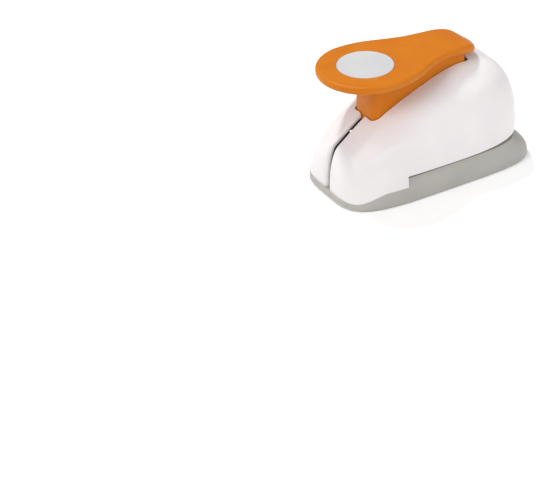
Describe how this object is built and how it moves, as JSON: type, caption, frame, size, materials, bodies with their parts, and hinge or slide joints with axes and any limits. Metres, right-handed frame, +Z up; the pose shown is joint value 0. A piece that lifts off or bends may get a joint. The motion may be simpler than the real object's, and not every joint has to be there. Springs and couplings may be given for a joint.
{
  "type": "craft punch",
  "caption": "Lever-type craft punch: two-half housing on a raised foot with a paper throat, round cutter and die, sprung plunger and a long thumb lever with a round pad.",
  "frame": {"origin": "middle of the underside of the foot, on the surface it stands on", "axes": "+X from the low nose under the thumb pad to the tall tail end where the paper goes in, +Y to the punch's left side seen from the tail towards the nose, +Z up"},
  "size_m": [0.1, 0.054, 0.0607],
  "materials": {
    "lever_plastic": "satin moulded orange plastic",
    "housing_plastic": "smooth moulded white plastic",
    "foot_plastic": "fine-grained moulded grey plastic",
    "badge_plastic": "satin pale grey inlay",
    "carrier_plastic": "moulded black plastic",
    "washer_nylon": "natural nylon",
    "plate_steel": "ground steel plate",
    "cutter_steel": "ground and polished tool steel",
    "pin_steel": "turned steel",
    "screw_steel": "zinc-plated steel",
    "spring_steel": "drawn spring wire"
  },
  "bodies": {
    "body": {"foot": "foot_plastic", "foot_screw_1": "screw_steel", "foot_screw_2": "screw_steel", "housing_left": "housing_plastic", "housing_right": "housing_plastic", "housing_screw_1": "screw_steel", "housing_screw_2": "screw_steel", "housing_screw_3": "screw_steel", "pivot_pin": "pin_steel", "pivot_washer_left": "washer_nylon", "pivot_washer_right": "washer_nylon", "die_plate": "plate_steel", "throat_spacer": "plate_steel", "guide_plate": "plate_steel", "frame_rivet_1": "pin_steel", "frame_rivet_2": "pin_steel", "die_screw_1": "screw_steel", "die_screw_2": "screw_steel", "die_screw_3": "screw_steel", "die_screw_4": "screw_steel", "guide_post_left": "pin_steel", "guide_post_right": "pin_steel", "return_spring_left": "spring_steel", "return_spring_right": "spring_steel"},
    "lever": {"lever": "lever_plastic", "badge_disc": "badge_plastic"},
    "plunger": {"punch_cutter": "cutter_steel", "punch_carrier": "carrier_plastic", "cutter_screw_1": "screw_steel", "cutter_screw_2": "screw_steel", "drive_pin": "pin_steel"}
  },
  "joints": [
    {"name": "lever_press", "type": "hinge", "parent": "body", "child": "lever", "pos_m": [0.015, 0, 0.044], "axis": [0, -1, 0], "range_deg": [0, 13.8]},
    {"name": "punch_stroke", "type": "slide", "parent": "body", "child": "plunger", "axis": [0, 0, -1], "range_m": [0, 0.0046], "stiffness_N_per_m": 400, "springref_m": -0.004, "deforming": ["return_spring_left", "return_spring_right"]}
  ],
  "couplings": [
    {"joint": "lever_press", "follows": "punch_stroke", "rad_per_m": 51.5}
  ]
}
